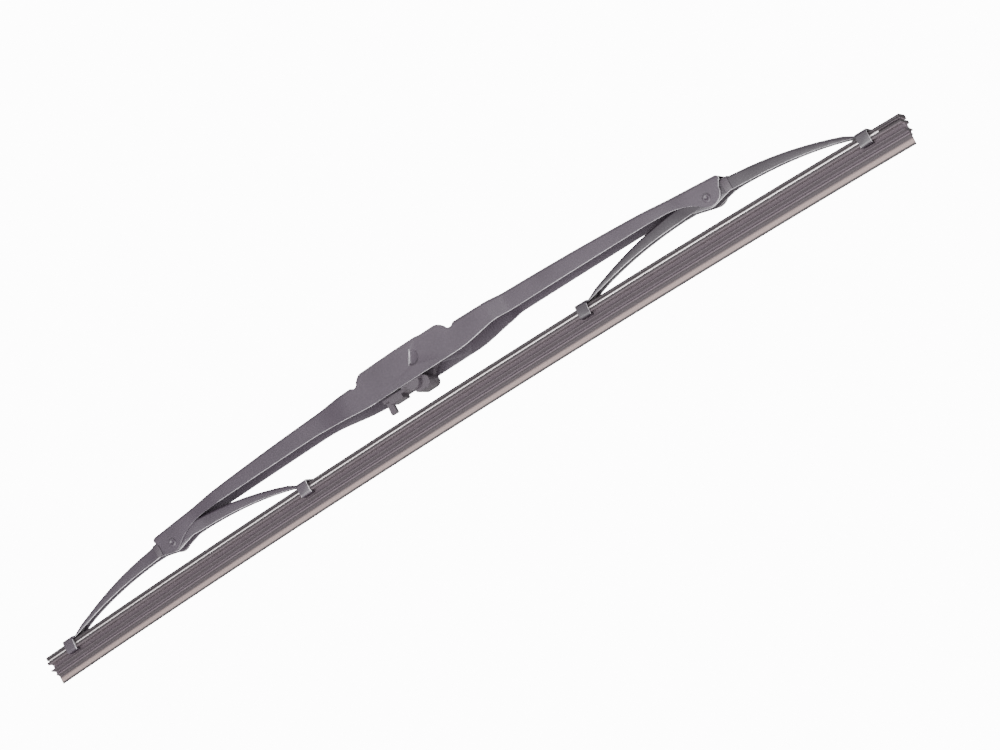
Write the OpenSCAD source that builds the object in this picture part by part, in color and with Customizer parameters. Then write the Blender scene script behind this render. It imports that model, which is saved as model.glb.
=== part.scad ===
// Conventional windscreen wiper blade, in millimetres.
// A folded steel main bow rocks two folded steel secondary bows on rivets. Their four claws grip a
// rubber squeegee stiffened by two spring strips, and a plastic clip takes the hook of the wiper arm.
// X runs along the blade, Z points away from the glass, and the origin is the arm clip's pivot.

/* [Squeegee] */
// Length of the rubber
blade_len = 450; // [420:5:500]
// Rise of the lip at mid length above its two ends
lip_rise = 3.5; // [2:0.5:6]
// Offset of the rubber under the claws, towards the right end
rubber_shift = 0.8; // [0:0.1:1.5]
// Height of the rubber from the lip to the top of its head
rubber_h = 13.3; // [13:0.1:14]
// Half width of the head that the claws hold
head_half_w = 3.95; // [3.7:0.05:4.1]
// Height of the head above the strip slot
head_h = 2.05; // [1.8:0.05:2.2]
// Height of the slot that holds the spring strips
slot_h = 0.8; // [0.75:0.05:1]
// Half width of the wall left between the two slots
slot_web_half_w = 1.4; // [1:0.1:1.8]
// Half width of the shoulder below the slot
shoulder_half_w = 4.7; // [4.5:0.05:4.8]
// Thickness of the shoulder
shoulder_h = 0.95; // [0.8:0.05:1.1]
// Half width of the neck below the shoulder
neck_half_w = 1.3; // [1:0.1:1.5]
// Height of the neck between the shoulder and the wide rib
neck_h = 1.95; // [1.9:0.05:2.1]
// Half width of the wide rib under the neck
rib_half_w = 4.6; // [4:0.1:4.8]
// Height from the lip to the tip of the wide rib
rib_z = 6.8; // [6.6:0.1:7]
// Half width of the small ridge above the lip
ridge_half_w = 2.1; // [1.8:0.1:2.6]
// Height from the lip to the tip of the small ridge
ridge_z = 4.6; // [4.4:0.1:4.8]
// Thickness of the wiping lip at its edge
lip_t = 0.7; // [0.6:0.1:1]

/* [Spring strips] */
// Thickness of each spring strip
strip_t = 0.6; // [0.5:0.05:0.65]
// Width of each spring strip
strip_w = 2.6; // [2.2:0.1:2.8]
// Rubber left bare of strip at the left end
strip_bare_left = 1; // [0.5:0.5:4]
// Rubber left bare of strip at the right end
strip_bare_right = 10; // [8:0.5:11]

/* [Main bow] */
// Height of the main bow's back above the lip's ends, at the middle
bow_back_z = 39.3; // [38.5:0.1:40]
// Radius of the main bow's back along the blade
bow_back_r = 1580; // [1500:20:1700]
// Thickness of the main bow's sheet
bow_t = 1; // [0.8:0.05:1.2]
// Outside radius of the main bow's folds
bow_fold_r = 1.3; // [1.2:0.1:1.6]
// Half width of the main bow at its middle
bow_mid_half_w = 9.5; // [9.2:0.1:10]
// Half width of the main bow's arms
bow_arm_half_w = 6.9; // [6.5:0.1:7.2]
// Half width of the main bow at its pivots
bow_end_half_w = 4.7; // [4.6:0.05:5]
// Height of the wall's lower edge above the lip's ends, under the wide middle
belly_z = 27.6; // [27:0.1:28.2]
// Height of the wall's lower edge along the arms
arm_edge_z = 30.6; // [30.2:0.1:31]
// Rise of the raised cheeks above the back
cheek_rise = 2.6; // [2.2:0.1:3.2]
// Length of the raised cheeks along the blade
cheek_len = 47.5; // [46:0.5:50]
// Reach of the main bow past each pivot
bow_reach = 8.2; // [7.6:0.1:9]
// Radius of the lobe round each pivot
lobe_r = 5.4; // [5.2:0.1:5.7]

/* [Secondary bows] */
// Distance between the two claws of a secondary bow
claw_span = 136; // [120:0.2:140]
// Rubber that overhangs each outer claw, on average
claw_overhang = 14.8; // [13:0.1:20]
// Drop of the pivot below the main bow's back
pivot_drop = 7.1; // [6.9:0.1:7.4]
// Height of a secondary bow's back above its pivot
link_above = 4.2; // [3.8:0.1:4.3]
// Depth of a secondary bow's walls below its pivot, beside the lobe
link_below = 1.8; // [1.4:0.1:2.4]
// Radius of a secondary bow's lobe round its pivot
link_lobe_r = 4; // [3.6:0.1:4.3]
// Thickness of the secondary bows' sheet
link_t = 0.9; // [0.7:0.05:1]
// Outside radius of the secondary bows' folds
link_fold_r = 1.1; // [1:0.1:1.3]
// Half width of a secondary bow's arms
link_arm_half_w = 2.3; // [2.1:0.1:2.8]

/* [Claws] */
// Length of each claw along the blade
claw_len = 4.8; // [4:0.1:5.6]
// Thickness of the claw's sheet
claw_t = 0.9; // [0.8:0.05:1]
// Gap between a claw and the rubber
claw_gap = 0.3; // [0.25:0.05:0.35]
// Half width of the mouth between a claw's two hooked edges
claw_mouth_half_w = 2.3; // [2:0.1:2.6]

/* [Pivots] */
// Radius of the rivets' shanks
rivet_r = 1.2; // [1:0.05:1.3]
// Radius of the rivets' heads
rivet_head_r = 1.8; // [1.7:0.05:2]
// Height of the rivets' heads
rivet_head_h = 0.6; // [0.5:0.05:0.8]
// Wall thickness of the plastic bush in each pivot
bush_t = 0.5; // [0.4:0.05:0.55]
// Gap between a bush and the secondary bow inside it
bush_gap = 0.1; // [0.08:0.02:0.2]
// Radial running clearance of each pivot
run_gap = 0.05; // [0.03:0.01:0.08]

/* [Arm clip] */
// Height of the arm pivot above the lip's ends
arm_pivot_z = 35.7; // [35:0.1:36]
// Distance of the arm pivot from mid blade, towards the left end
arm_pivot_left = 1; // [0.5:0.1:2]
// Radius of the barrel that the arm's hook wraps round
barrel_r = 4.4; // [4.2:0.05:4.6]
// Width of the arm's hook
hook_w = 9; // [9:0.1:9.4]
// Thickness of the arm's hook
hook_t = 3; // [3:0.1:3.4]
// Radius of the round studs that the clip turns on
stud_r = 3; // [2.8:0.05:3.1]
// Length of the studs inside the main bow's walls
stud_len = 1.3; // [1:0.05:1.5]
// Gap between the clip and each wall of the main bow
clip_gap = 0.4; // [0.3:0.05:0.6]
// Side gap between the hook and each cheek of the clip
hook_side_gap = 0.3; // [0.2:0.05:0.4]
// Length of the finger that latches the hook
latch_len = 6.5; // [5.5:0.1:7]
// Width of the release tab along the blade
tab_len = 2.8; // [2.4:0.1:3.4]
// Depth of the release tab below the latch finger
tab_drop = 3.4; // [3:0.1:4]

/* [Hidden] */
$fn = 48;

paint = [0.16, 0.15, 0.16];
dark_plastic = [0.08, 0.08, 0.09];
rubber_black = [0.11, 0.10, 0.10];
bright_steel = [0.78, 0.77, 0.75];

half_len = blade_len / 2;
// Radius of the lip's arc, whose centre lies below the glass
lip_arc_r = (half_len * half_len + lip_rise * lip_rise) / (2 * lip_rise);
arc_steps = 24;

// Places along the blade
claw_out_x = half_len - claw_overhang;
pivot_x = claw_out_x - claw_span / 2;
claw_in_x = claw_out_x - claw_span;
bow_end_x = pivot_x + bow_reach;
// The raised cheeks are centred left of mid blade, like the arm pivot inside them
mid_x = -arm_pivot_left - 4.2;

// Heights on the rubber's section, counted from the lip
head_z = rubber_h - head_h;
slot_z = head_z - slot_h;
shoulder_z = slot_z - shoulder_h;
neck_z = shoulder_z - neck_h;

// Heights on a claw, counted from the lip under it
claw_seat_z = rubber_h + claw_gap;
claw_top_z = claw_seat_z + claw_t;
claw_hook_z = shoulder_z - claw_gap;
claw_low_z = claw_hook_z - claw_t;
claw_half_w = shoulder_half_w + claw_gap + claw_t;

// Half widths across a pivot, from the inside of the main bow inwards
pivot_inner_half_w = bow_end_half_w - bow_t;
link_half_w = pivot_inner_half_w - bush_t - bush_gap;

// Half widths across the arm clip
mid_inner_half_w = bow_mid_half_w - bow_t;
clip_half_w = mid_inner_half_w - clip_gap;
hook_room_half_w = hook_w / 2 + hook_side_gap;

function lip_z(x) = lip_rise - lip_arc_r + sqrt(lip_arc_r * lip_arc_r - x * x);
function lip_slope(x) = asin(x / lip_arc_r);
function back_z(x) = bow_back_z - bow_back_r + sqrt(bow_back_r * bow_back_r - x * x);
function ease(u) = let (c = max(0, min(1, u))) c * c * (3 - 2 * c);

pivot_z = back_z(pivot_x) - pivot_drop;

// Width of the main bow: a wide middle, long slowly narrowing arms and narrow ends. The middle keeps its
// full width further on the right, and turns in there more sharply.
wide_left = 31.5;
wide_right = 43.7;
turn_left = 17;
turn_right = 8.5;
neck_start_x = pivot_x - 30;
neck_end_x = pivot_x - 13;
arm_narrowing = 0.2;
function from_mid(x, flat_left, len_left, flat_right, len_right) =
    x < mid_x ? ease((mid_x - x - flat_left) / len_left) : ease((x - mid_x - flat_right) / len_right);
function bow_half_w(x) =
    let (mid = 1 - from_mid(x, wide_left, turn_left, wide_right, turn_right),
         end = ease((abs(x) - neck_start_x) / (neck_end_x - neck_start_x)),
         arm = bow_arm_half_w - arm_narrowing * min(abs(x) / neck_start_x, 1))
    arm + mid * (bow_mid_half_w - arm) + end * (bow_end_half_w - arm);

// Lower edge of the main bow's walls, apart from the lobes
belly_left = 19.5;
belly_right = 24.6;
belly_turn_left = 36;
belly_turn_right = 24.4;
arm_edge_fall = 1;
function edge_z(x) =
    let (arm = arm_edge_z - arm_edge_fall * pow(x / neck_start_x, 2))
    belly_z + (arm - belly_z) * from_mid(x, belly_left, belly_turn_left, belly_right, belly_turn_right);

// Moves a shape drawn from mid blade at the lip's ends to the arm pivot's frame
module in_frame() {
    translate([arm_pivot_left, 0, -arm_pivot_z]) children();
}

// Draws a side outline (X to the right, Y up) and gives it depth from y0 to y1
module side_plate(y0, y1) {
    translate([0, y1, 0])
        rotate([90, 0, 0])
            linear_extrude(height = y1 - y0) children();
}

// Cylinder along Y from y0 to y1, centred at x, z
module cross_bar(x, z, r, y0, y1) {
    translate([x, y1, z])
        rotate([90, 0, 0])
            cylinder(r = r, h = y1 - y0);
}

// Places a shape on both long sides of the blade
module both_sides() {
    children();
    mirror([0, 1, 0]) children();
}

// Half section of a folded sheet, from the lower tip of its left wall up to its back. A plain wall ends
// in a square edge; a hooked wall turns inwards under the part it grips, down to the mouth.
fold_steps = 3;
edge_step = 0.05;
function fold(cy, cz, r, a0, a1, steps) =
    [for (i = [0:steps]) let (a = a0 + (a1 - a0) * i / steps) [cy + r * cos(a), cz + r * sin(a)]];
function plain_wall(y, low, tip_y) =
    concat([[tip_y, low]], [for (k = [1:3]) [y, low + edge_step * k]]);
function hooked_wall(y, low, tip_y, r) = concat([[tip_y, low]], fold(y + r, low + r, r, 270, 180, 2));
function top_fold(half_w, top, r) = fold(r - half_w, top - r, r, 180, 90, fold_steps);
function mirrored(points) = [for (p = points) [-p[0], p[1]]];
function reversed(points) = [for (i = [len(points) - 1:-1:0]) points[i]];
// Closed ring from the left outer tip round the outside to the right, then back along the inside
function ring_of(out, inn) =
    concat(out, reversed(mirrored(out)), mirrored(inn), reversed(inn));
function channel_out(half_w, top, low, t, r) =
    concat(plain_wall(-half_w, low, 0.3 * t - half_w), top_fold(half_w, top, r));
function channel_in(half_w, top, low, t, r) =
    concat(plain_wall(t - half_w, low, 0.7 * t - half_w),
           top_fold(half_w - t, top - t, max(r - t, 0.2)));

// Channel swept through rings; each ring is [x, section points]
module swept_channel(rings) {
    n = len(rings[0][1]);
    half = n / 2;
    last = len(rings) - 1;
    points = [for (ring = rings) for (p = ring[1]) [ring[0], p[0], p[1]]];
    skin = [for (k = [0:last - 1]) for (i = [0:n - 1])
        let (a = k * n + i, b = k * n + (i + 1) % n)
        each [[a, b, b + n], [a, b + n, a + n]]];
    caps = [for (i = [0:half - 2])
        let (a = i, b = i + 1, c = n - 2 - i, d = n - 1 - i, e = last * n)
        each [[a, d, c], [a, c, b], [e + a, e + b, e + c], [e + a, e + c, e + d]]];
    polyhedron(points = points, faces = concat(skin, caps), convexity = 6);
}

// Main bow, folded from one sheet. Each stretch along it is [start, end, steps], finer where it turns in.
wall_floor = pivot_z - lobe_r - 3;
turn_left_x = mid_x - wide_left;
turn_right_x = mid_x + wide_right;
stretches = [
    [-bow_end_x, -neck_end_x, 3], [-neck_end_x, -neck_start_x, 6],
    [-neck_start_x, turn_left_x - turn_left, 6], [turn_left_x - turn_left, turn_left_x, 7],
    [turn_left_x, turn_right_x, 7], [turn_right_x, turn_right_x + turn_right, 6],
    [turn_right_x + turn_right, neck_start_x, 6], [neck_start_x, neck_end_x, 6],
    [neck_end_x, bow_end_x, 3]];
function places_along(list) = concat([list[0][0]],
    [for (part = list) for (i = [1:part[2]]) part[0] + (part[1] - part[0]) * i / part[2]]);
module bow_channel() {
    swept_channel([for (x = places_along(stretches))
        [x, ring_of(channel_out(bow_half_w(x), back_z(x), wall_floor, bow_t, bow_fold_r),
                    channel_in(bow_half_w(x), back_z(x), wall_floor, bow_t, bow_fold_r))]]);
}

// Side outline of the main bow below its back: belly, arms, and a rounded lobe at each pivot. A wide
// hollow, tangent to both, leads from the arm's edge down to the lobe.
outline_steps = 60;
throat_steps = 10;
throat_run = 20;
lobe_x = pivot_x + 1;
lobe_z = pivot_z + 1.5;
nose_r = 1.6;
throat_x = pivot_x - throat_run;
throat_rise = edge_z(throat_x) - lobe_z;
throat_r = (pow(lobe_x - throat_x, 2) + pow(throat_rise, 2) - lobe_r * lobe_r) / (2 * (lobe_r + throat_rise));
throat_z = edge_z(throat_x) - throat_r;
throat_turn = atan((lobe_x - throat_x) / (lobe_z - throat_z));
function throat(side) = [for (i = [1:throat_steps])
    let (a = throat_turn * i / throat_steps)
    [side * (throat_x + throat_r * sin(a)), throat_z + throat_r * cos(a)]];
module bow_side_outline() {
    top = bow_back_z + 5;
    end = throat(1)[throat_steps - 1];
    polygon(concat(reversed(throat(-1)),
        [for (i = [0:outline_steps]) let (x = throat_x * (2 * i / outline_steps - 1)) [x, edge_z(x)]],
        throat(1), [[end[0], top], [-end[0], top]]));
    for (side = [-1, 1]) {
        translate([side * lobe_x, lobe_z]) circle(r = lobe_r, $fn = 96);
        // Nose above the lobe, with its outer corner rounded
        translate([side * (bow_end_x - nose_r), back_z(bow_end_x) - nose_r]) circle(r = nose_r);
        polygon([[side * lobe_x, lobe_z], [side * (end[0] - 0.01), end[1]], [side * (end[0] - 0.01), top],
                 [side * (bow_end_x - nose_r), top],
                 [side * (bow_end_x - nose_r), back_z(bow_end_x) - nose_r],
                 [side * bow_end_x, back_z(bow_end_x) - nose_r],
                 [side * (lobe_x + lobe_r), lobe_z]]);
    }
}

// Outline of the cheeks that stand above the back beside the arm's window. Each end rises on a slope of
// 45 degrees and turns into the top with its own radius.
cheek_left_x = mid_x - cheek_len / 2;
cheek_right_x = mid_x + cheek_len / 2;
cheek_top_z = bow_back_z + cheek_rise;
cheek_foot_z = bow_back_z - 0.1;
cheek_left_r = 4.2;
cheek_right_r = 5;
cheek_step = 0.4;
step_start_x = mid_x - 2.6;
step_end_x = mid_x + 9.4;
step_slope = 2.5;
function cheek_end(x, side, r) =
    let (corner_x = x - side * (cheek_top_z - cheek_foot_z), mid = [corner_x - side * r * tan(22.5), 0])
    [[x, cheek_foot_z], [mid[0] + side * r * sin(45), cheek_top_z - r * (1 - cos(45))],
     [mid[0], cheek_top_z]];
module cheek_outline() {
    root = belly_z + 4;
    left = cheek_end(cheek_left_x, -1, cheek_left_r);
    right = cheek_end(cheek_right_x, 1, cheek_right_r);
    translate([left[2][0], cheek_top_z - cheek_left_r]) circle(r = cheek_left_r, $fn = 72);
    translate([right[2][0], cheek_top_z - cheek_right_r]) circle(r = cheek_right_r, $fn = 72);
    polygon(concat([[cheek_left_x, root]], left,
        [[step_start_x, cheek_top_z + cheek_step], [step_end_x, cheek_top_z + cheek_step],
         [step_end_x + step_slope, cheek_top_z]],
        reversed(right), [[cheek_right_x, root]]));
}

// Rounded notch between a cheek and the back of the bow
notch_r = 2.2;
notch_depth = 1.6;
notch_gap = 2;
module cheek_notch(x) {
    cross_bar(x, bow_back_z - notch_depth + notch_r, notch_r, -bow_mid_half_w - 1, bow_mid_half_w + 1);
}

// Half-sheared dimple in the cheek: straight edge up and left, sloping round side down and right
dimple_tilt = 30;
dimple_flat = 1.05;
dimple_mouth_r = 3.5;
dimple_floor_r = 2.4;
dimple_depth = 1.2;
module beyond_flat(reach) {
    rotate([0, dimple_tilt, 0])
        translate([-dimple_flat, -reach, -reach])
            cube([2 * reach, 2 * reach, 2 * reach]);
}

module main_bow() {
    window_left = cheek_left_x - notch_r;
    window_right = cheek_right_x + notch_r;
    color(paint) in_frame() difference() {
        union() {
            intersection() {
                bow_channel();
                side_plate(-bow_mid_half_w - 1, bow_mid_half_w + 1) bow_side_outline();
            }
            both_sides() side_plate(mid_inner_half_w, bow_mid_half_w) cheek_outline();
        }
        translate([window_left, -mid_inner_half_w, belly_z - 1])
            cube([window_right - window_left, 2 * mid_inner_half_w, bow_back_z]);
        cheek_notch(cheek_left_x - notch_gap);
        cheek_notch(cheek_right_x + notch_gap);
        for (side = [-1, 1])
            cross_bar(side * pivot_x, pivot_z, rivet_r, -bow_mid_half_w, bow_mid_half_w);
        both_sides()
            translate([-arm_pivot_left, -bow_mid_half_w, arm_pivot_z])
                intersection() {
                    rotate([-90, 0, 0])
                        cylinder(r1 = dimple_mouth_r, r2 = dimple_floor_r, h = dimple_depth);
                    beyond_flat(5);
                }
    }
    // Backs of the two dimples: the studs that the arm clip turns on
    color(paint) both_sides()
        intersection() {
            cross_bar(0, 0, stud_r, -mid_inner_half_w - 0.01, -mid_inner_half_w + stud_len);
            beyond_flat(12);
        }
}

// Secondary bow, drawn about its pivot and level: one folded strip from claw to claw
link_steps = 26;
link_half = claw_span / 2;
claw_mid_z = (lip_z(claw_out_x) + lip_z(claw_in_x)) / 2 + claw_top_z;
link_tilt = atan((lip_z(claw_in_x) - lip_z(claw_out_x)) / claw_span);
claw_root = link_half - claw_len / 2;
claw_top = claw_mid_z - pivot_z;
claw_low = claw_top - claw_top_z + claw_low_z;
claw_bend = 0.8;
link_root = claw_root - claw_bend;
link_fall = link_above - claw_top;
link_dip = 1;
link_dip_len = 6;
link_lift = 9.6;
plate_h = claw_t + 0.1;
function link_top(x) =
    link_above - (link_fall - link_dip) * pow(x / link_root, 2)
    - link_dip * ease((abs(x) - link_root) / link_dip_len + 1);
function link_low(x) = max(-link_below - link_lift * pow(abs(x) / link_half, 2.5), claw_top - plate_h);
// Straight across the pivot, then narrow along the arms, flaring into the claws
link_mid_half = 10;
link_turn = 4;
claw_flare = 1.2;
claw_flare_len = 9;
function link_w(x) =
    let (arm = ease((abs(x) - link_mid_half) / link_turn),
         claw = ease((abs(x) - link_root) / claw_flare_len + 1))
    link_half_w + arm * (link_arm_half_w - link_half_w) + claw * claw_flare;
function link_ring(x) =
    let (top = link_top(x), low = link_low(x), h = top - low,
         t = min(link_t, 0.55 * h), r = min(link_fold_r, h - 4 * edge_step))
    ring_of(channel_out(link_w(x), top, low, t, r), channel_in(link_w(x), top, low, t, r));
// The claw turns down round the head and the shoulder of the rubber and in under the shoulder
claw_fold_r = 1.2;
function claw_ring() = ring_of(
    concat(hooked_wall(-claw_half_w, claw_low, -claw_mouth_half_w, claw_fold_r),
           top_fold(claw_half_w, claw_top, claw_fold_r)),
    concat(hooked_wall(claw_t - claw_half_w, claw_low + claw_t, -claw_mouth_half_w,
                       claw_fold_r - claw_t),
           top_fold(claw_half_w - claw_t, claw_top - claw_t, claw_fold_r - claw_t)));

// Beside the claw the wall first opens, then ends above the rubber, so that no edge cuts across it
claw_edge = 0.15;
claw_skirt = 1.4;
function skirt_ring(low) = ring_of(channel_out(claw_half_w, claw_top, low, claw_t, claw_fold_r),
                                   channel_in(claw_half_w, claw_top, low, claw_t, claw_fold_r));
function claw_rings() = [
    [link_half + claw_len / 2, claw_ring()], [claw_root, claw_ring()],
    [claw_root - claw_edge, skirt_ring(claw_low)],
    [claw_root - claw_bend / 2, skirt_ring(claw_top - claw_skirt)]];

module link_strip() {
    swept_channel(concat(
        [for (ring = claw_rings()) [-ring[0], ring[1]]],
        [for (i = [0:link_steps]) let (x = link_root * (2 * i / link_steps - 1)) [x, link_ring(x)]],
        reversed(claw_rings())));
}

// Rounded lobe of each wall under the pivot, tangent to slopes from the walls' lower edge
lobe_run = 9.5;
lobe_inset = 0.02;
module link_lobe() {
    reach = sqrt(lobe_run * lobe_run + link_below * link_below);
    slope = atan(link_below / lobe_run) + acos(link_lobe_r / reach);
    foot = [link_lobe_r * cos(slope), -link_lobe_r * sin(slope)];
    circle(r = link_lobe_r, $fn = 72);
    polygon([[-lobe_run, 0], [-lobe_run, -link_below], [-foot[0], foot[1]], [foot[0], foot[1]],
             [lobe_run, -link_below], [lobe_run, 0]]);
}

module secondary_bow(side) {
    color(paint) in_frame() translate([side * pivot_x, 0, pivot_z]) difference() {
        rotate([0, side * link_tilt, 0]) {
            link_strip();
            both_sides() side_plate(link_half_w - link_t, link_half_w - lobe_inset) link_lobe();
        }
        cross_bar(0, 0, rivet_r + run_gap, -link_half_w - 1, link_half_w + 1);
    }
}

module left_bow() { secondary_bow(-1); }
module right_bow() { secondary_bow(1); }

// Semi-tubular rivet: domed head at the back, rolled and softly dished end at the front
dish_r = 1;
dish_depth = 0.45;
rivet_edge = 0.35;
module rivet(side) {
    front = -bow_end_half_w;
    back = bow_end_half_w;
    color(paint) in_frame() translate([side * pivot_x, 0, pivot_z])
        rotate([-90, 0, 0])
            rotate_extrude() polygon([
                [0, front - rivet_head_h + dish_depth],
                [dish_r / 2, front - rivet_head_h + dish_depth * 0.85], [dish_r, front - rivet_head_h],
                [rivet_head_r - rivet_edge, front - rivet_head_h],
                [rivet_head_r, front - rivet_head_h + rivet_edge],
                [rivet_head_r, front], [rivet_r, front], [rivet_r, back], [rivet_head_r, back],
                [rivet_head_r, back + rivet_head_h - rivet_edge],
                [rivet_head_r - rivet_edge, back + rivet_head_h - 0.1], [0, back + rivet_head_h]]);
}

module left_rivet() { rivet(-1); }
module right_rivet() { rivet(1); }

// Plastic saddle bush that keeps the two bows apart at a pivot
bush_recess = 0.2;
bush_half_len = 6.2;
bush_chamfer = 0.5;
bush_roof_gap = 0.05;
module bush(side) {
    roof = back_z(pivot_x + bush_half_len) - bow_t - bush_roof_gap;
    reach = 2 * lobe_r;
    color(dark_plastic) in_frame() difference() {
        side_plate(-pivot_inner_half_w, pivot_inner_half_w) {
            translate([side * lobe_x, lobe_z]) circle(r = lobe_r - bush_recess, $fn = 96);
            translate([side * pivot_x - bush_half_len, lobe_z])
                square([2 * bush_half_len, roof - lobe_z + 1]);
        }
        // Flat roof under the back of the main bow
        translate([side * pivot_x - reach, -pivot_inner_half_w - 1, roof])
            cube([2 * reach, 2 * pivot_inner_half_w + 2, reach]);
        // Channel for the secondary bow, open below
        translate([side * pivot_x - reach, bush_t - pivot_inner_half_w, roof - bush_t - 2 * reach])
            cube([2 * reach, 2 * (pivot_inner_half_w - bush_t), 2 * reach]);
        cross_bar(side * pivot_x, pivot_z, rivet_r, -bow_mid_half_w, bow_mid_half_w);
        // Top corners, cut to clear the inside of the main bow's folds
        for (y = [-pivot_inner_half_w, pivot_inner_half_w])
            translate([side * pivot_x, y, roof])
                rotate([45, 0, 0])
                    cube([3 * bush_half_len, bush_chamfer * sqrt(2), bush_chamfer * sqrt(2)],
                         center = true);
    }
}

module left_bush() { bush(-1); }
module right_bush() { bush(1); }

// Arm clip, drawn from its pivot: two cheeks, the barrel, the jaw under the hook and the latch
hook_gap = 0.1;
jaw_top = -barrel_r - hook_t - 2 * hook_gap;
jaw_h = 5.3;
jaw_left = -7;
jaw_right = 0.8;
jaw_nose_r = 2.4;
jaw_edge = 0.6;
module jaw_outline() {
    low = jaw_top - jaw_h;
    nose_x = jaw_right - jaw_nose_r;
    polygon([[jaw_left, low + jaw_edge], [jaw_left + jaw_edge, low], [nose_x, low],
             [nose_x, jaw_top], [jaw_left, jaw_top]]);
    translate([jaw_left, low + jaw_nose_r])
        square([jaw_right - jaw_left, jaw_h - 2 * jaw_nose_r]);
    for (z = [low + jaw_nose_r, jaw_top - jaw_nose_r])
        translate([nose_x, z]) circle(r = jaw_nose_r);
}

// Each cheek is a round boss over the stud, running down to an ear beside the jaw
clip_boss_r = 5.4;
ear_r = 3.3;
ear_x = -5.4;
ear_drop = 1;
ear_foot = 2.4;
shelf_t = 1.4;
module clip_cheek_outline() {
    foot_x = ear_x - ear_r - ear_foot;
    ear_z = jaw_top - ear_drop;
    circle(r = clip_boss_r, $fn = 72);
    polygon([[-clip_boss_r, 0], [clip_boss_r, 0], [ear_x + ear_r, ear_z], [ear_x, ear_z],
             [ear_x, jaw_top - shelf_t], [foot_x, jaw_top - shelf_t], [foot_x, jaw_top]]);
    translate([ear_x, ear_z]) circle(r = ear_r);
}

// Springy shelf that runs back from the jaw to the latch finger, with the release tab at its end
latch_gap = 7.2;
latch_h = 1.8;
shelf_half_w = 3.4;
tab_half_w = 1.1;
module latch() {
    latch_left = jaw_left - latch_gap - latch_len;
    tab_left = latch_left - tab_len;
    low = jaw_top - shelf_t;
    side_plate(-shelf_half_w, shelf_half_w) {
        translate([tab_left, low]) square([jaw_left - tab_left + jaw_edge, shelf_t]);
        translate([latch_left, low - latch_h]) square([latch_len, latch_h + shelf_t]);
    }
    side_plate(-tab_half_w, tab_half_w)
        translate([tab_left, low - latch_h - tab_drop])
            square([tab_len, tab_drop + latch_h + shelf_t]);
}

stud_end_gap = 0.3;
module arm_clip() {
    color(dark_plastic) difference() {
        union() {
            both_sides() side_plate(hook_room_half_w, clip_half_w) clip_cheek_outline();
            cross_bar(0, 0, barrel_r, -hook_room_half_w, hook_room_half_w);
            side_plate(-hook_room_half_w, hook_room_half_w) jaw_outline();
            latch();
        }
        both_sides()
            cross_bar(0, 0, stud_r + run_gap, mid_inner_half_w - stud_len - stud_end_gap,
                      mid_inner_half_w);
    }
}

// Right half of the rubber's section from the lip up, as [half width, height]
function squeegee_half() = [
    [lip_t / 2, 0], [lip_t / 2 + 0.1, ridge_z - 0.9], [lip_t / 2 + 0.5, ridge_z - 0.5],
    [ridge_half_w, ridge_z - 0.25], [ridge_half_w, ridge_z + 0.25], [ridge_half_w - 0.6, ridge_z + 0.6],
    [neck_half_w + 0.2, rib_z - 0.8], [rib_half_w, rib_z - 0.4], [rib_half_w, rib_z + 0.25],
    [neck_half_w + 0.4, rib_z + 0.5], [neck_half_w, neck_z + 0.25], [neck_half_w, shoulder_z - 0.25],
    [neck_half_w + 0.3, shoulder_z], [shoulder_half_w - 0.2, shoulder_z],
    [shoulder_half_w, shoulder_z + 0.2], [shoulder_half_w, slot_z - 0.25],
    [shoulder_half_w - 0.4, slot_z], [slot_web_half_w, slot_z], [slot_web_half_w, head_z],
    [head_half_w, head_z], [head_half_w, head_z + 0.6], [head_half_w - 0.3, head_z + 0.75],
    [head_half_w - 0.3, head_z + 0.9], [head_half_w, head_z + 1.05], [head_half_w, rubber_h - 0.5],
    [head_half_w - 0.5, rubber_h]];

// Sweeps a section (heights from the lip) along the lip's arc, from x0 to x1
module along_lip(x0, x1) {
    a0 = asin(x0 / lip_arc_r);
    a1 = asin(x1 / lip_arc_r);
    translate([0, 0, lip_rise - lip_arc_r])
        rotate([0, a1 - 90, 0])
            rotate([90, 0, 0])
                rotate_extrude(angle = a1 - a0, $fn = round(arc_steps * 360 / (a1 - a0)))
                    translate([lip_arc_r, 0]) rotate(-90) mirror([1, 0]) children();
}

module squeegee() {
    half = squeegee_half();
    color(rubber_black) in_frame() along_lip(rubber_shift - half_len, rubber_shift + half_len)
        polygon(concat(half, reversed(mirrored(half))));
}

strip_gap = 0.1;
module spring_strip(side) {
    y = slot_web_half_w + strip_gap;
    z = slot_z + strip_gap;
    left = rubber_shift - half_len + strip_bare_left;
    right = rubber_shift + half_len - strip_bare_right;
    color(bright_steel) in_frame() along_lip(left, right)
        polygon([[side * y, z], [side * (y + strip_w), z],
                 [side * (y + strip_w), z + strip_t], [side * y, z + strip_t]]);
}

module front_spring_strip() { spring_strip(-1); }
module rear_spring_strip() { spring_strip(1); }

main_bow();
left_bow();
right_bow();
left_rivet();
right_rivet();
left_bush();
right_bush();
arm_clip();
squeegee();
front_spring_strip();
rear_spring_strip();
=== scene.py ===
# Looks of a conventional windscreen wiper blade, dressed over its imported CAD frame.
# Everything is in metres in the part's own frame: X along the blade, Z away from the glass, and the
# origin on the axis of the clip that takes the wiper arm's hook.
import math

import bmesh
import bpy
from mathutils import Matrix, Vector


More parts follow.
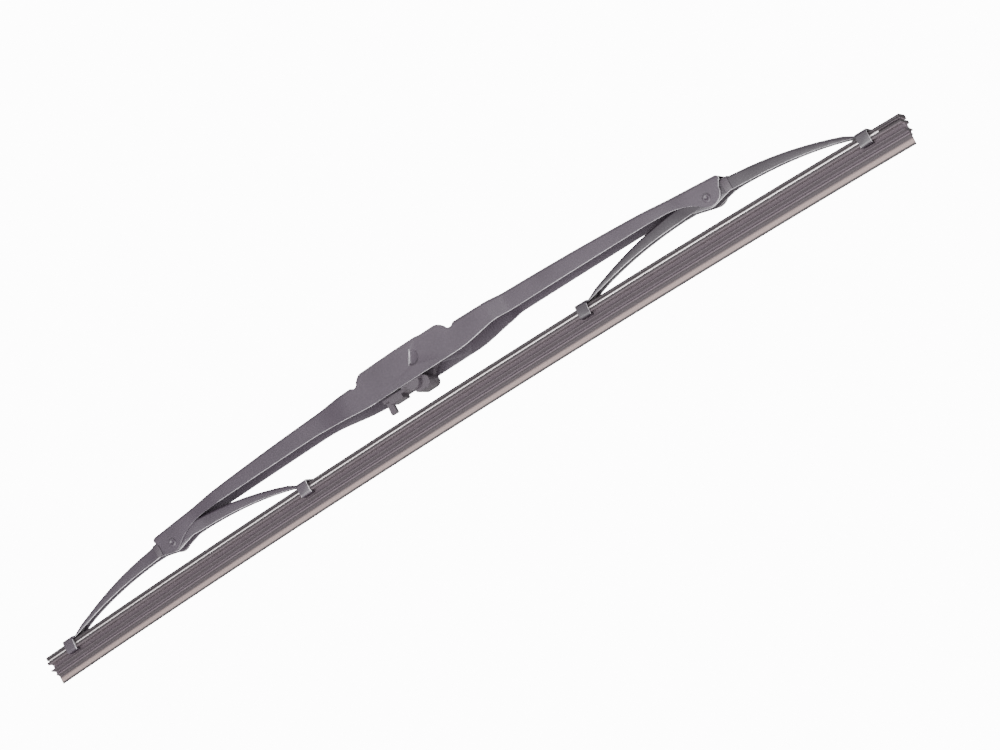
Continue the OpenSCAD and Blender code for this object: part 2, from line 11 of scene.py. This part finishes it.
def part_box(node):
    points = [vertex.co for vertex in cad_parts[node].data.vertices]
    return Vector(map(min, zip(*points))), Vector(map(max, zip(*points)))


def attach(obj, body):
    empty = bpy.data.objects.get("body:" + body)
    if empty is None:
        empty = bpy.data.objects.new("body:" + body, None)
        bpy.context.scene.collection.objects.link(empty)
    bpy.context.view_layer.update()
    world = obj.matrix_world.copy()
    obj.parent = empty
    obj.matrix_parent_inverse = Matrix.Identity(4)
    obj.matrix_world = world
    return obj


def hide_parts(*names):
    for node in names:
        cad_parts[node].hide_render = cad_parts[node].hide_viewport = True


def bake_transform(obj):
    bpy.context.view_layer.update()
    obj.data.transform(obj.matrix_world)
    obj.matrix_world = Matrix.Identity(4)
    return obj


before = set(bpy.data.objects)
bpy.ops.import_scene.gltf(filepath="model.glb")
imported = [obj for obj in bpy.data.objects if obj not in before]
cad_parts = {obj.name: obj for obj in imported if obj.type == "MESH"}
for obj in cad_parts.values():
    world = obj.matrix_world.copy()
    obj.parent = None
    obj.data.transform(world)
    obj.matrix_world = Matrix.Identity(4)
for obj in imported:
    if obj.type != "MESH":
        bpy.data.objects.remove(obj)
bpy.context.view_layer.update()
MM = 0.001


# Camera. The photograph was taken with a long lens from below and to the right of the blade, and
# the blade runs up to the right across the picture.
LOOK_AT = Vector((27.71, 0.0, -24.14)) * MM
CAMERA_DISTANCE = 1381.0 * MM
CAMERA_YAW = math.radians(23.56)
CAMERA_RISE = math.radians(12.92)
CAMERA_ROLL = math.radians(26.98)
PICTURE_WIDTH_PX = 1000
FOCAL_LENGTH_PX = 3394.2
SENSOR_WIDTH_MM = 36.0
CAMERA_SEES_TO = 20.0

forward = Vector((-math.sin(CAMERA_YAW) * math.cos(CAMERA_RISE),
                  math.cos(CAMERA_YAW) * math.cos(CAMERA_RISE),
                  math.sin(CAMERA_RISE)))
level_right = Vector((math.cos(CAMERA_YAW), math.sin(CAMERA_YAW), 0.0))
level_up = level_right.cross(forward)
right = math.cos(CAMERA_ROLL) * level_right - math.sin(CAMERA_ROLL) * level_up
up = math.sin(CAMERA_ROLL) * level_right + math.cos(CAMERA_ROLL) * level_up
camera = bpy.data.objects.new("camera", bpy.data.cameras.new("camera"))
camera.data.sensor_width = SENSOR_WIDTH_MM
camera.data.lens = FOCAL_LENGTH_PX / PICTURE_WIDTH_PX * SENSOR_WIDTH_MM
camera.data.clip_end = CAMERA_SEES_TO
camera.matrix_world = (Matrix.Translation(LOOK_AT - CAMERA_DISTANCE * forward)
                       @ Matrix((right, up, -forward)).transposed().to_4x4())
bpy.context.collection.objects.link(camera)
bpy.context.scene.camera = camera


# Main bow. One pressed and folded channel of steel sheet, finished in black powder coat. Baked
# polyester powder leaves a satin skin with a faint orange peel. Its cut edges that don't look up
# carry a painted highlight, in patches.
def linear(hex_colour):
    """An sRGB hex colour as linear red, green, blue and alpha."""
    shares = [int(hex_colour[i:i + 2], 16) / 255 for i in (1, 3, 5)]
    return tuple(share / 12.92 if share <= 0.04045 else ((share + 0.055) / 1.055) ** 2.4
                 for share in shares) + (1.0,)


def add_node(tree, kind, inputs=None, **settings):
    """Adds a node with its settings, and fills its inputs with values or other nodes' outputs."""
    node = tree.nodes.new(kind)
    for name, value in settings.items():
        setattr(node, name, value)
    for name, value in (inputs or {}).items():
        if isinstance(value, bpy.types.NodeSocket):
            tree.links.new(value, node.inputs[name])
        else:
            node.inputs[name].default_value = value
    return node


def new_material(name):
    """An empty node material, with its tree and its output node."""
    material = bpy.data.materials.new(name)
    material.use_nodes = True
    material.node_tree.nodes.clear()
    return material, material.node_tree, add_node(material.node_tree, "ShaderNodeOutputMaterial")


PAINT_DARK = "#29232a"
PAINT_LIGHT = "#332c34"
# The colour of the painted highlight on the cut edges
PAINT_EDGE_HIGHLIGHT = "#a29ea3"
PAINT_ROUGHNESS = (0.38, 0.48)
PAINT_IOR = 1.5
ORANGE_PEEL_SIZE = 1.1 * MM
ORANGE_PEEL_DEPTH = 0.02 * MM
ORANGE_PEEL_STRENGTH = 0.6
PAINT_CLOUD_SIZE = 14 * MM
# The edges' painted highlight comes in patches: as their noise rises from the first value to the
# second, so does the share of the highlight's colour on the edge
EDGE_HIGHLIGHT_PATCH_SIZE = 5 * MM
EDGE_HIGHLIGHT_PATCH_NOISE = (0.3, 0.6)
EDGE_HIGHLIGHT_SHARES = (0.45, 1.0)

powder_coat, tree, output = new_material("black_powder_coat")
place = add_node(tree, "ShaderNodeTexCoord").outputs["Object"]
clouds = add_node(tree, "ShaderNodeTexNoise",
                  {"Vector": place, "Scale": 1 / PAINT_CLOUD_SIZE, "Detail": 3.0})
peel = add_node(tree, "ShaderNodeTexNoise",
                {"Vector": place, "Scale": 1 / ORANGE_PEEL_SIZE, "Detail": 2.0})
tint = add_node(tree, "ShaderNodeMix",
                {"Factor": clouds.outputs["Fac"], "A": linear(PAINT_DARK),
                 "B": linear(PAINT_LIGHT)}, data_type="RGBA")
# A painted highlight lies in patches along the walls' sheared edges that don't look up
sheared = add_node(tree, "ShaderNodeAttribute", attribute_name="sheared").outputs["Fac"]
highlight_patches = add_node(tree, "ShaderNodeTexNoise",
                  {"Vector": place, "Scale": 1 / EDGE_HIGHLIGHT_PATCH_SIZE, "Detail": 4.0})
highlight_share = add_node(tree, "ShaderNodeMapRange",
                {"Value": highlight_patches.outputs["Fac"], "From Min": EDGE_HIGHLIGHT_PATCH_NOISE[0],
                 "From Max": EDGE_HIGHLIGHT_PATCH_NOISE[1], "To Min": EDGE_HIGHLIGHT_SHARES[0],
                 "To Max": EDGE_HIGHLIGHT_SHARES[1]}).outputs["Result"]
edge_highlight = add_node(tree, "ShaderNodeMath", {0: sheared, 1: highlight_share}, operation="MULTIPLY").outputs[0]
# Painted shade: the colour is darkened by this share
darker_by = add_node(tree, "ShaderNodeAttribute", attribute_name="darker_by").outputs["Fac"]
kept = add_node(tree, "ShaderNodeMath", {0: 1.0, 1: darker_by}, operation="SUBTRACT").outputs[0]
shaded_tint = add_node(tree, "ShaderNodeVectorMath", {0: tint.outputs["Result"], "Scale": kept},
                  operation="SCALE")
colour = add_node(tree, "ShaderNodeMix",
                  {"Factor": edge_highlight, "A": shaded_tint.outputs["Vector"], "B": linear(PAINT_EDGE_HIGHLIGHT)},
                  data_type="RGBA")
gloss = add_node(tree, "ShaderNodeMapRange",
                 {"Value": clouds.outputs["Fac"], "To Min": PAINT_ROUGHNESS[0],
                  "To Max": PAINT_ROUGHNESS[1]})
bump = add_node(tree, "ShaderNodeBump",
                {"Height": peel.outputs["Fac"], "Distance": ORANGE_PEEL_DEPTH,
                 "Strength": ORANGE_PEEL_STRENGTH})
paint = add_node(tree, "ShaderNodeBsdfPrincipled",
                 {"Base Color": colour.outputs["Result"], "Roughness": gloss.outputs["Result"],
                  "IOR": PAINT_IOR, "Normal": bump.outputs["Normal"]})
tree.links.new(paint.outputs["BSDF"], output.inputs["Surface"])

JOIN_WITHIN = 0.002 * MM
CREASE_ANGLE = math.radians(32)
# A sheared edge, which takes the painted highlight, is a face hardly wider than the sheet, across
# the wall, that doesn't look up: less than these shares of its normal point sideways and upward
SHEET_THICKNESS = 1.0 * MM
SHEARED_WIDTH = 1.1 * SHEET_THICKNESS
SHEARED_SIDEWAYS = 0.35
SHEARED_UPWARD = 0.3
# The painted highlight on the main bow's long edge is dimmed as far as 3 cm from the left rivet
EDGE_HIGHLIGHT_FROM_X = -112 * MM
DIMMED_EDGE_HIGHLIGHT = 0.2


def baked(rough, name):
    """Replaces a rough object by a plain one, with the mesh that its modifiers give."""
    seen = rough.evaluated_get(bpy.context.evaluated_depsgraph_get())
    piece = bpy.data.objects.new(name, bpy.data.meshes.new_from_object(seen))
    piece.data.name = name
    bpy.data.objects.remove(rough)
    bpy.context.collection.objects.link(piece)
    return piece


def pressed_steel(name, node_name, body, darker_by=0.0, edge_highlight_from_x=-math.inf):
    """The CAD sheet as one skin, smooth over its rolled bends and sharp at its sheared edges."""
    skin = bmesh.new()
    skin.from_mesh(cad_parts[node_name].data)
    bmesh.ops.remove_doubles(skin, verts=skin.verts, dist=JOIN_WITHIN)
    mesh = bpy.data.meshes.new(name)
    skin.to_mesh(mesh)
    skin.free()
    sheared = mesh.attributes.new("sheared", "FLOAT", "FACE")
    # Painted shade, the same over the whole piece
    painted_shade_share = mesh.attributes.new("darker_by", "FLOAT", "FACE")
    for face in mesh.polygons:
        sides = [mesh.vertices[i].co.y for i in face.vertices]
        is_sheared = (max(sides) - min(sides) < SHEARED_WIDTH
                      and abs(face.normal.y) < SHEARED_SIDEWAYS
                      and face.normal.z < SHEARED_UPWARD)
        # The painted highlight is dimmed on the edge left of the given x
        edge_highlight_share = 1.0 if face.center.x > edge_highlight_from_x else DIMMED_EDGE_HIGHLIGHT
        sheared.data[face.index].value = edge_highlight_share if is_sheared else 0.0
        painted_shade_share.data[face.index].value = darker_by
    mesh.shade_smooth()
    mesh.set_sharp_from_angle(angle=CREASE_ANGLE)
    mesh.materials.clear()
    mesh.materials.append(powder_coat)
    rough = bpy.data.objects.new(name + "_unweighted", mesh)
    bpy.context.collection.objects.link(rough)
    flat_walls = rough.modifiers.new("flat_walls", "WEIGHTED_NORMAL")
    flat_walls.keep_sharp = True
    piece = baked(rough, name)
    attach(piece, body)
    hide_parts(node_name)


pressed_steel("folded_main_bow", "main_bow", "carrier", edge_highlight_from_x=EDGE_HIGHLIGHT_FROM_X)


# Secondary bows. Two lighter strips of the same painted sheet, rocking in the main bow's forks,
# with claws folded round the rubber at their ends. Painted shade darkens their coat, the right
# one's most.
LEFT_BOW_PAINTED_SHADE = 0.1
RIGHT_BOW_PAINTED_SHADE = 0.5

pressed_steel("folded_left_bow", "left_bow", "left_link", darker_by=LEFT_BOW_PAINTED_SHADE)
pressed_steel("folded_right_bow", "right_bow", "right_link", darker_by=RIGHT_BOW_PAINTED_SHADE)


# Rivets. Semi-tubular steel rivets through the forks, rolled over and dished at the near end, under
# the same coat of paint as the bows.
def finish_cad(node_names, material):
    """Gives the CAD pieces that stay as they are their real material."""
    for node_name in node_names:
        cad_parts[node_name].data.materials.clear()
        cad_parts[node_name].data.materials.append(material)


finish_cad(("left_rivet", "right_rivet"), powder_coat)


# Arm clip and bushes. Injection moulded black acetal, which comes from a spark-eroded mould with a
# dull, fine-grained face.
ACETAL = "#2e282e"
ACETAL_ROUGHNESS = 0.55
ACETAL_IOR = 1.48
# The real grain is nearer 0.1 mm, drawn coarser here so that it shows
ACETAL_GRAIN = 0.35 * MM
ACETAL_GRAIN_DEPTH = 0.012 * MM
ACETAL_GRAIN_STRENGTH = 0.8

acetal, tree, output = new_material("moulded_black_acetal")
place = add_node(tree, "ShaderNodeTexCoord").outputs["Object"]
grain = add_node(tree, "ShaderNodeTexNoise",
                 {"Vector": place, "Scale": 1 / ACETAL_GRAIN, "Detail": 2.0})
bump = add_node(tree, "ShaderNodeBump",
                {"Height": grain.outputs["Fac"], "Distance": ACETAL_GRAIN_DEPTH,
                 "Strength": ACETAL_GRAIN_STRENGTH})
plastic = add_node(tree, "ShaderNodeBsdfPrincipled",
                   {"Base Color": linear(ACETAL), "Roughness": ACETAL_ROUGHNESS,
                    "IOR": ACETAL_IOR, "Normal": bump.outputs["Normal"]})
tree.links.new(plastic.outputs["BSDF"], output.inputs["Surface"])

finish_cad(("arm_clip", "left_bush", "right_bush"), acetal)


# Bush collars. A bush's saddle stands out past the end of the main bow's fork, snapped over the
# back and sides of the secondary bow, with softly rounded edges. Each follows that bow's own outer
# skin, so only the skin's faces that look up or well to the side are kept.
COLLAR_THICKNESS = 0.4 * MM
COLLAR_LENGTH = 3.2 * MM
COLLAR_INSIDE_FORK = 0.6 * MM
COLLAR_ROUND = 0.15 * MM
COLLAR_ROUND_STEPS = 3
COLLAR_ROUND_FROM = math.radians(50)
COLLAR_LOOKS_UP = 0.1
COLLAR_LOOKS_OUT = 0.8

fork_low, fork_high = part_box("main_bow")
for side, away, fork_end in (("left", -1, fork_low.x), ("right", 1, fork_high.x)):
    saddle = bmesh.new()
    saddle.from_mesh(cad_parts[side + "_bow"].data)
    bmesh.ops.remove_doubles(saddle, verts=saddle.verts, dist=JOIN_WITHIN)
    inner_end = fork_end - away * COLLAR_INSIDE_FORK
    for cut_x, cut_off in ((inner_end, -away), (inner_end + away * COLLAR_LENGTH, away)):
        bmesh.ops.bisect_plane(saddle, geom=saddle.verts[:] + saddle.edges[:] + saddle.faces[:],
                               plane_co=(cut_x, 0, 0), plane_no=(cut_off, 0, 0), clear_outer=True)
    saddle.normal_update()
    hidden = [face for face in saddle.faces
              if face.normal.z < COLLAR_LOOKS_UP
              and face.normal.y * math.copysign(1, face.calc_center_median().y) < COLLAR_LOOKS_OUT]
    bmesh.ops.delete(saddle, geom=hidden, context="FACES")
    mesh = bpy.data.meshes.new(side + "_bush_collar")
    saddle.to_mesh(mesh)
    saddle.free()
    mesh.materials.append(acetal)
    rough = bpy.data.objects.new(side + "_bush_collar_rough", mesh)
    bpy.context.collection.objects.link(rough)
    wall = rough.modifiers.new("wall", "SOLIDIFY")
    wall.thickness, wall.offset, wall.use_even_offset = COLLAR_THICKNESS, 1, True
    rounded = rough.modifiers.new("rounded", "BEVEL")
    rounded.width, rounded.segments = COLLAR_ROUND, COLLAR_ROUND_STEPS
    rounded.limit_method, rounded.angle_limit = "ANGLE", COLLAR_ROUND_FROM
    piece = baked(rough, side + "_bush_collar")
    piece.data.shade_smooth()
    piece.data.set_sharp_from_angle(angle=CREASE_ANGLE)
    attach(piece, side + "_link")


# Squeegee. One extrusion of black natural rubber, bent to the gentle curve that the strips give it.
# It is cut in two pieces at mid blade.
RUBBER_LENGTH = 450 * MM
RUBBER_HEIGHT = 13.3 * MM
RUBBER_SHIFT = 0.8 * MM
LIP_RISE = 3.5 * MM
RUBBER_STEPS = 90
SECTION_ROUND = 0.38 * MM
SECTION_ROUND_STEPS = 4
SECTION_CREASE_ANGLE = math.radians(40)
# Half of the section from the lip's edge up to the head, as half width and height in millimetres
RUBBER_HALF_SECTION = (
    (0.35, 0.0), (0.45, 3.7), (0.85, 4.1), (2.1, 4.35), (2.1, 4.85), (1.5, 5.2), (1.5, 6.0),
    (4.6, 6.4), (4.6, 7.05), (1.7, 7.3), (1.3, 7.8), (1.3, 9.25), (1.6, 9.5), (4.5, 9.5),
    (4.7, 9.7), (4.7, 10.6), (4.35, 10.85), (1.4, 10.78), (1.4, 11.46), (3.95, 11.46),
    (3.95, 11.95), (3.65, 12.1), (3.65, 12.2), (3.95, 12.35), (3.95, 12.8), (3.45, 13.3))

rubber_low, rubber_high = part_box("squeegee")
mid_blade_x = (rubber_low.x + rubber_high.x) / 2 - RUBBER_SHIFT
lip_mid_z = rubber_high.z - RUBBER_HEIGHT
half_length = RUBBER_LENGTH / 2
bend_radius = (half_length ** 2 + LIP_RISE ** 2) / (2 * LIP_RISE)

bent_extrusion = bpy.data.node_groups.new("bent_extrusion", "GeometryNodeTree")
for name, kind in (("Geometry", "Geometry"), ("From", "Float"), ("To", "Float"), ("Steps", "Int"),
                   ("Round", "Float"), ("Bend Radius", "Float"), ("Mid Blade X", "Float"),
                   ("Lip Height", "Float"), ("Material", "Material")):
    bent_extrusion.interface.new_socket(name, in_out="INPUT", socket_type="NodeSocket" + kind)
bent_extrusion.interface.new_socket("Geometry", in_out="OUTPUT", socket_type="NodeSocketGeometry")
tree = bent_extrusion
given = add_node(tree, "NodeGroupInput").outputs
section = add_node(tree, "GeometryNodeMeshToCurve", {"Mesh": given["Geometry"]})
section = add_node(tree, "GeometryNodeFilletCurve",
                   {"Curve": section.outputs["Curve"], "Radius": given["Round"],
                    "Count": SECTION_ROUND_STEPS, "Limit Radius": True}, mode="POLY")
start = add_node(tree, "ShaderNodeCombineXYZ", {"X": given["From"]})
end = add_node(tree, "ShaderNodeCombineXYZ", {"X": given["To"]})
line = add_node(tree, "GeometryNodeCurvePrimitiveLine",
                {"Start": start.outputs["Vector"], "End": end.outputs["Vector"]})
line = add_node(tree, "GeometryNodeResampleCurve",
                {"Curve": line.outputs["Curve"], "Count": given["Steps"]})
bar = add_node(tree, "GeometryNodeCurveToMesh",
               {"Curve": line.outputs["Curve"], "Profile Curve": section.outputs["Curve"],
                "Fill Caps": True})
spot = add_node(tree, "ShaderNodeSeparateXYZ",
                {"Vector": add_node(tree, "GeometryNodeInputPosition").outputs["Position"]}).outputs
bar = add_node(tree, "GeometryNodeStoreNamedAttribute",
               {"Geometry": bar.outputs["Mesh"], "Name": "height", "Value": spot["Z"]},
               data_type="FLOAT", domain="POINT")
# The straight bar is wrapped round the bend's centre: x becomes an angle, and height adds to radius
angle = add_node(tree, "ShaderNodeMath", {0: spot["X"], 1: given["Bend Radius"]},
                 operation="DIVIDE").outputs[0]
reach = add_node(tree, "ShaderNodeMath", {0: spot["Z"], 1: given["Bend Radius"]},
                 operation="ADD").outputs[0]
along = add_node(tree, "ShaderNodeMath",
                 {0: reach, 1: add_node(tree, "ShaderNodeMath", {0: angle},
                                        operation="SINE").outputs[0],
                  2: given["Mid Blade X"]}, operation="MULTIPLY_ADD").outputs[0]
lip_drop = add_node(tree, "ShaderNodeMath", {0: given["Lip Height"], 1: given["Bend Radius"]},
                    operation="SUBTRACT").outputs[0]
above = add_node(tree, "ShaderNodeMath",
                 {0: reach, 1: add_node(tree, "ShaderNodeMath", {0: angle},
                                        operation="COSINE").outputs[0],
                  2: lip_drop}, operation="MULTIPLY_ADD").outputs[0]
bent = add_node(tree, "GeometryNodeSetPosition",
                {"Geometry": bar.outputs["Geometry"],
                 "Position": add_node(tree, "ShaderNodeCombineXYZ",
                                      {"X": along, "Y": spot["Y"], "Z": above}).outputs["Vector"]})
fold = add_node(tree, "GeometryNodeInputMeshEdgeAngle").outputs["Unsigned Angle"]
sharp = add_node(tree, "FunctionNodeCompare", {"A": fold, "B": SECTION_CREASE_ANGLE},
                 data_type="FLOAT", operation="GREATER_THAN").outputs["Result"]
bent = add_node(tree, "GeometryNodeSetShadeSmooth",
                {"Geometry": bent.outputs["Geometry"], "Selection": sharp, "Shade Smooth": False},
                domain="EDGE")
bent = add_node(tree, "GeometryNodeRealizeInstances", {"Geometry": bent.outputs["Geometry"]})
bent = add_node(tree, "GeometryNodeSetMaterial",
                {"Geometry": bent.outputs["Geometry"], "Material": given["Material"]})
add_node(tree, "NodeGroupOutput", {"Geometry": bent.outputs["Geometry"]})


def bent_bar(name, outline, start_x, end_x, rounding, material):
    """A closed section, given in millimetres, swept along the rubber's curve as a plain mesh."""
    section_mesh = bpy.data.meshes.new(name + "_section")
    points = [(-y * MM, -z * MM, 0.0) for y, z in outline]
    section_mesh.from_pydata(points, [(i, (i + 1) % len(points)) for i in range(len(points))], [])
    holder = bpy.data.objects.new(name + "_section", section_mesh)
    bpy.context.collection.objects.link(holder)
    modifier = holder.modifiers.new("bent_extrusion", "NODES")
    modifier.node_group = bent_extrusion
    values = {"From": start_x, "To": end_x, "Steps": RUBBER_STEPS, "Round": rounding,
              "Bend Radius": bend_radius, "Mid Blade X": mid_blade_x, "Lip Height": lip_mid_z,
              "Material": material}
    for item in bent_extrusion.interface.items_tree:
        if item.in_out == "INPUT" and item.name in values:
            modifier[item.identifier] = values[item.name]
    return baked(holder, name)


def bend_with_bow(half):
    """Bakes the placing of a half of the rubber or of a strip into its mesh."""
    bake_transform(half)


RUBBER_BLACK = "#241f22"
RUBBER_ROUGHNESS = 0.75
RUBBER_IOR = 1.4
# The die leaves faint streaks along the rubber
RUBBER_STREAK_WIDTH = 0.9 * MM
RUBBER_STREAK_LENGTH = 45 * MM
RUBBER_STREAK_SHADES = (0.98, 1.02)
# Light and shade are painted into the rubber in bands along the extrusion. Each band's tone is
# painted light and shade: lightest in the hollows below and above the shoulder, under the head and
# in the strips' slots past their ends. The rubber is also paler a little above the lip's edge and
# darker along the edge itself. Each pair is a height in millimetres and the colour at it.
RUBBER_LIGHT_AND_SHADE_BANDS = ((0.0, "#1c181a"), (0.75, "#241f21"), (1.0, "#675957"), (2.2, "#675957"),
                (3.0, "#2b2528"), (4.1, RUBBER_BLACK), (4.7, "#443b41"), (5.2, "#3e363c"),
                (6.1, "#2b2529"), (6.4, "#282226"), (7.0, "#352e33"), (7.3, "#534a50"),
                (8.4, "#483f45"), (9.3, "#3d353a"), (9.5, "#463e42"), (9.7, "#332c30"),
                (9.9, RUBBER_BLACK), (10.7, "#1f1a1d"), (10.85, "#564d53"), (11.45, "#564d53"),
                (11.6, RUBBER_BLACK))

rubber, tree, output = new_material("extruded_black_rubber")
place = add_node(tree, "ShaderNodeTexCoord").outputs["Object"]
height = add_node(tree, "ShaderNodeAttribute", attribute_name="height").outputs["Fac"]
share = add_node(tree, "ShaderNodeMath", {0: height, 1: RUBBER_HEIGHT},
                 operation="DIVIDE").outputs[0]
# The painted light and shade, looked up by height
light_and_shade_bands = add_node(tree, "ShaderNodeValToRGB", {"Fac": share})
stops = light_and_shade_bands.color_ramp.elements
while len(stops) < len(RUBBER_LIGHT_AND_SHADE_BANDS):
    stops.new(1.0)
for stop, (band_height, band_colour) in zip(stops, RUBBER_LIGHT_AND_SHADE_BANDS):
    stop.position = band_height * MM / RUBBER_HEIGHT
    stop.color = linear(band_colour)
drawn_out = add_node(tree, "ShaderNodeMapping",
                     {"Vector": place, "Scale": (1 / RUBBER_STREAK_LENGTH, 1 / RUBBER_STREAK_WIDTH,
                                                 1 / RUBBER_STREAK_WIDTH)})
streaks = add_node(tree, "ShaderNodeTexNoise",
                   {"Vector": drawn_out.outputs["Vector"], "Scale": 1.0, "Detail": 2.0})
streaked = add_node(tree, "ShaderNodeMapRange",
                    {"Value": streaks.outputs["Fac"], "To Min": RUBBER_STREAK_SHADES[0],
                     "To Max": RUBBER_STREAK_SHADES[1]}).outputs["Result"]
# The painted light and shade of the bands, with the die's streaks
shaded_and_streaked = add_node(tree, "ShaderNodeVectorMath",
                 {0: light_and_shade_bands.outputs["Color"], "Scale": streaked}, operation="SCALE")
skin = add_node(tree, "ShaderNodeBsdfPrincipled",
                {"Base Color": shaded_and_streaked.outputs["Vector"], "Roughness": RUBBER_ROUGHNESS,
                 "IOR": RUBBER_IOR})
tree.links.new(skin.outputs["BSDF"], output.inputs["Surface"])

full_section = list(RUBBER_HALF_SECTION) + [(-y, z) for y, z in reversed(RUBBER_HALF_SECTION)]
for side, body, start_x, end_x in (("left", "left_link", RUBBER_SHIFT - half_length, 0.0),
                                   ("right", "right_link", 0.0, RUBBER_SHIFT + half_length)):
    half = bent_bar("rubber_" + side, full_section, start_x, end_x, SECTION_ROUND, rubber)
    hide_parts("squeegee")
    bend_with_bow(half)


# Spring strips. Two flat strips of bright stainless steel, pushed into the rubber's slots. Rolling
# leaves fine lines along them, which spread the shine. Each is cut at mid blade like the rubber.
# A strip's sides and heights on the rubber's section, in millimetres
STRIP_SIDES = (1.5, 4.1)
STRIP_HEIGHTS = (10.83, 11.4)
STRIP_BARE_LEFT = 0.8 * MM
STRIP_BARE_RIGHT = 10 * MM
STRIP_ROUND = 0.08 * MM
STEEL = "#e6e0e0"
STEEL_ROUGHNESS = (0.42, 0.5)
STEEL_LINE_WIDTH = 0.12 * MM
STEEL_LINE_LENGTH = 12 * MM

spring_steel, tree, output = new_material("rolled_spring_steel")
place = add_node(tree, "ShaderNodeTexCoord").outputs["Object"]
drawn_out = add_node(tree, "ShaderNodeMapping",
                     {"Vector": place, "Scale": (1 / STEEL_LINE_LENGTH, 1 / STEEL_LINE_WIDTH,
                                                 1 / STEEL_LINE_WIDTH)})
lines = add_node(tree, "ShaderNodeTexNoise",
                 {"Vector": drawn_out.outputs["Vector"], "Scale": 1.0, "Detail": 2.0})
rolled = add_node(tree, "ShaderNodeMapRange",
                  {"Value": lines.outputs["Fac"], "To Min": STEEL_ROUGHNESS[0],
                   "To Max": STEEL_ROUGHNESS[1]}).outputs["Result"]
steel = add_node(tree, "ShaderNodeBsdfPrincipled",
                 {"Base Color": linear(STEEL), "Metallic": 1.0, "Roughness": rolled})
tree.links.new(steel.outputs["BSDF"], output.inputs["Surface"])

for name, sign in (("front", -1), ("rear", 1)):
    outline = [(sign * y, z) for y, z in ((STRIP_SIDES[0], STRIP_HEIGHTS[0]),
                                          (STRIP_SIDES[1], STRIP_HEIGHTS[0]),
                                          (STRIP_SIDES[1], STRIP_HEIGHTS[1]),
                                          (STRIP_SIDES[0], STRIP_HEIGHTS[1]))][::sign]
    for side, body, start_x, end_x in (
            ("left", "left_link", RUBBER_SHIFT - half_length + STRIP_BARE_LEFT, 0.0),
            ("right", "right_link", 0.0, RUBBER_SHIFT + half_length - STRIP_BARE_RIGHT)):
        half = bent_bar(name + "_strip_" + side, outline, start_x, end_x, STRIP_ROUND, spring_steel)
        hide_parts(name + "_spring_strip")
        bend_with_bow(half)


# Floor and light. A plain pale floor well below the blade, a white room, and large soft lamps below
# and before the blade, with weaker ones above and behind it for the other sides.
FLOOR_Z = -0.9
FLOOR_SIZE = 12.0
FLOOR_COLOUR = "#f4f2f1"
floor_mesh = bpy.data.meshes.new("floor")
half_floor = FLOOR_SIZE / 2
floor_mesh.from_pydata([(-half_floor, -half_floor, FLOOR_Z), (half_floor, -half_floor, FLOOR_Z),
                        (half_floor, half_floor, FLOOR_Z), (-half_floor, half_floor, FLOOR_Z)],
                       [], [(0, 1, 2, 3)])
floor = bpy.data.objects.new("floor", floor_mesh)
bpy.context.collection.objects.link(floor)
pale, tree, output = new_material("pale_matte_floor")
matte = add_node(tree, "ShaderNodeBsdfDiffuse", {"Color": linear(FLOOR_COLOUR)})
tree.links.new(matte.outputs["BSDF"], output.inputs["Surface"])
floor_mesh.materials.append(pale)

# The wall is brighter where the camera sees it, so that it comes out white behind the blade
WALL_COLOUR = "#ffffff"
WALL_BRIGHTNESS = 13.0
ROOM_COLOUR = "#fffdfd"
ROOM_BRIGHTNESS = 0.6
world = bpy.data.worlds.new("white_room")
world.use_nodes = True
tree = world.node_tree
tree.nodes.clear()
seen_wall = add_node(tree, "ShaderNodeBackground",
                     {"Color": linear(WALL_COLOUR), "Strength": WALL_BRIGHTNESS})
room_glow = add_node(tree, "ShaderNodeBackground",
                     {"Color": linear(ROOM_COLOUR), "Strength": ROOM_BRIGHTNESS})
room = add_node(tree, "ShaderNodeMixShader",
                {0: add_node(tree, "ShaderNodeLightPath").outputs["Is Camera Ray"],
                 1: room_glow.outputs["Background"], 2: seen_wall.outputs["Background"]})
tree.links.new(room.outputs["Shader"],
               add_node(tree, "ShaderNodeOutputWorld").inputs["Surface"])
bpy.context.scene.world = world

# Each lamp's name, its place, its power in watts and the side of its square in metres
LAMPS = (("front_lamp", (-0.15, -1.5, -0.5), 41.0, 1.3),
         ("fill_lamp", (0.57, -1.23, -0.33), 22.0, 0.5),
         ("low_lamp", (0.1, -0.5, -0.8), 38.0, 1.3),
         ("end_lamp", (1.6, -0.2, -0.5), 12.0, 1.2),
         ("back_lamp", (-0.3, 1.5, 0.6), 34.0, 1.3),
         ("top_lamp", (0.0, 0.3, 1.5), 20.0, 1.3))
for name, lamp_at, power, size in LAMPS:
    lamp = bpy.data.lights.new(name, "AREA")
    lamp.energy = power
    lamp.size = size
    holder = bpy.data.objects.new(name, lamp)
    holder.location = lamp_at
    holder.rotation_euler = (LOOK_AT - Vector(lamp_at)).to_track_quat("-Z", "Y").to_euler()
    holder.visible_camera = False
    bpy.context.collection.objects.link(holder)
